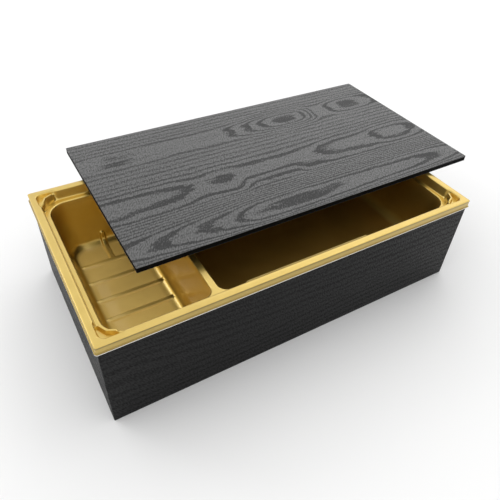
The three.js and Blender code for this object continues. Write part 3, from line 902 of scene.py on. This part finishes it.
back_arches = [
    (-127.5, 0.35), (-116.0, 0.55), (-96.0, 0.7), (-76.0, 0.55), (-60.0, 0.38), (-28.0, 0.38), (-18.0, 0.6),
    (-10.0, 1.0), (-2.0, 1.6), (5.0, 2.0), (11.0, 2.6), (17.0, 3.0), (26.0, 3.65), (37.0, 3.92), (47.0, 3.65),
    (54.0, 3.0), (57.0, 2.6), (60.0, 2.0), (64.0, 1.0), (68.0, 0.4), (74.0, 0.35), (78.0, 0.6), (83.0, 1.0),
    (91.0, 1.6), (101.0, 1.9), (112.0, 1.6), (120.0, 1.2), (127.5, 1.0)]
hump = [(-127.5, 0.0), (-45.0, 0.0), (-31.0, 0.75), (-10.0, 0.9), (6.0, 0.75), (20.0, 0.0), (127.5, 0.0)]
lid_film_finish = wood_film(
    "grey_wood_film_painted_light", LID_PRINT_PALE_AND_PAINTED_LIGHT, LID_PRINT_DARK, LID_PRINT_GLOSS, LID_PRINT_DEPTH, lid_years,
    [(-57.0, 17.5, front_ovals), (-15.0, 16.5, middle_loops), (38.0, 12.5, back_arches), (-28.0, 6.5, hump)])
lid_film = cut_layer("lid_wood_film", "lid_grain_film", lid_film_finish, top_ease=0.12, bottom_ease=0.03)

# Back film: plain black with a fine speckle, laminated to the board's lower face. It balances the face
# film, so that the board stays flat.
BACK_DARK = (0.012, 0.012, 0.0125)
BACK_PALE = (0.024, 0.024, 0.0245)
BACK_ROUGH = (0.5, 0.64)
BACK_SPECKS_PER_M = 1600.0
BACK_SPECK_EDGE = (0.35, 0.65)
BACK_RELIEF = (0.3, 0.00008)

back_finish, tree, shader = blank_finish("plain_black_film")
speck = speckle(tree, BACK_SPECKS_PER_M)
shade = tint(tree, span(tree, speck, *BACK_SPECK_EDGE), BACK_DARK, BACK_PALE)
tree.links.new(shade, shader.inputs["Base Color"])
tree.links.new(span(tree, speck, *NOISE_SPREAD, *BACK_ROUGH), shader.inputs["Roughness"])
tree.links.new(relief(tree, speck, *BACK_RELIEF), shader.inputs["Normal"])
lid_back = cut_layer("lid_back_film", "lid_backing_film", back_finish, top_ease=0.03, bottom_ease=0.08)


# Studio: a broad sheet of pale paper under an even white tent. A large soft box stands behind to the
# right, a smaller one hangs high on the right, and the smallest stands behind to the left.
FLOOR_HALF = 4.0
PAPER_DARK = (0.84, 0.84, 0.838)
PAPER_PALE = (0.86, 0.86, 0.858)
PAPER_ROUGH = 0.8
PAPER_SPECULAR = 0.2
PAPER_CLOUDS_PER_M = 6.0

floor_mesh = bpy.data.meshes.new("studio_floor")
floor_mesh.from_pydata(
    [(-FLOOR_HALF, -FLOOR_HALF, 0.0), (FLOOR_HALF, -FLOOR_HALF, 0.0), (FLOOR_HALF, FLOOR_HALF, 0.0),
     (-FLOOR_HALF, FLOOR_HALF, 0.0)], [], [(0, 1, 2, 3)])
floor = bpy.data.objects.new("studio_floor", floor_mesh)
bpy.context.scene.collection.objects.link(floor)
paper, tree, shader = blank_finish("pale_paper")
shade = tint(tree, speckle(tree, PAPER_CLOUDS_PER_M, detail=3.0), PAPER_DARK, PAPER_PALE)
tree.links.new(shade, shader.inputs["Base Color"])
shader.inputs["Roughness"].default_value = PAPER_ROUGH
shader.inputs["Specular IOR Level"].default_value = PAPER_SPECULAR
floor_mesh.materials.append(paper)


def soft_box(name, place, target, size, watts):
    lamp = bpy.data.lights.new(name, "AREA")
    lamp.shape = "RECTANGLE"
    lamp.size, lamp.size_y = size
    lamp.energy = watts
    stand = bpy.data.objects.new(name, lamp)
    stand.location = place
    stand.rotation_euler = (Vector(target) - Vector(place)).to_track_quat("-Z", "Y").to_euler()
    bpy.context.scene.collection.objects.link(stand)


soft_box("soft_box_back", place=(1.0, 0.9, 0.95), target=(0.05, 0.07, 0.05), size=(1.3, 0.9), watts=1.4)
soft_box("soft_box_high", place=(0.9, 0.18, 1.65), target=(0.0, 0.05, 0.05), size=(0.4, 0.4), watts=1.2)
soft_box("soft_box_small", place=(-0.68, 0.83, 0.7), target=(-0.08, 0.07, 0.04), size=(0.25, 0.2), watts=0.9)

# The tent is white to the eye and in reflections. Its fill on matt faces grows from front to back.
FILL_FROM_FRONT = 0.82
FILL_FROM_BACK = 1.5
FILL_TURN = 0.6

world = bpy.data.worlds.new("studio")
bpy.context.scene.world = world
world.use_nodes = True
tree = world.node_tree
sky = tree.nodes["Background"]
rays = add_node(tree, "ShaderNodeLightPath")
direction = add_node(tree, "ShaderNodeTexCoord").outputs["Generated"]
facing = add_node(tree, "ShaderNodeSeparateXYZ", {0: direction})
fill = span(tree, facing.outputs["Y"], -FILL_TURN, FILL_TURN, FILL_FROM_FRONT, FILL_FROM_BACK)
seen = sums(tree, "MAXIMUM", rays.outputs["Is Camera Ray"], rays.outputs["Is Glossy Ray"])
seen = sums(tree, "MAXIMUM", seen, rays.outputs["Is Transmission Ray"])
level = sums(tree, "ADD", fill, sums(tree, "MULTIPLY", seen, sums(tree, "SUBTRACT", 1.0, fill)))
tree.links.new(level, sky.inputs["Strength"])
sky.inputs["Color"].default_value = (1.0, 1.0, 1.0, 1.0)

camera_lens = bpy.data.cameras.new("camera")
camera_lens.lens = 36.317
camera_lens.sensor_width = 36.0
camera_lens.clip_start = 0.01
camera = bpy.data.objects.new("camera", camera_lens)
camera.location = (-0.14382, -0.15844, 0.26169)
camera.rotation_euler = [math.radians(angle) for angle in (47.8998, -2.3822, -30.2561)]
bpy.context.scene.collection.objects.link(camera)
bpy.context.scene.camera = camera
bpy.context.scene.view_settings.view_transform = "Standard"

bpy.context.view_layer.update()
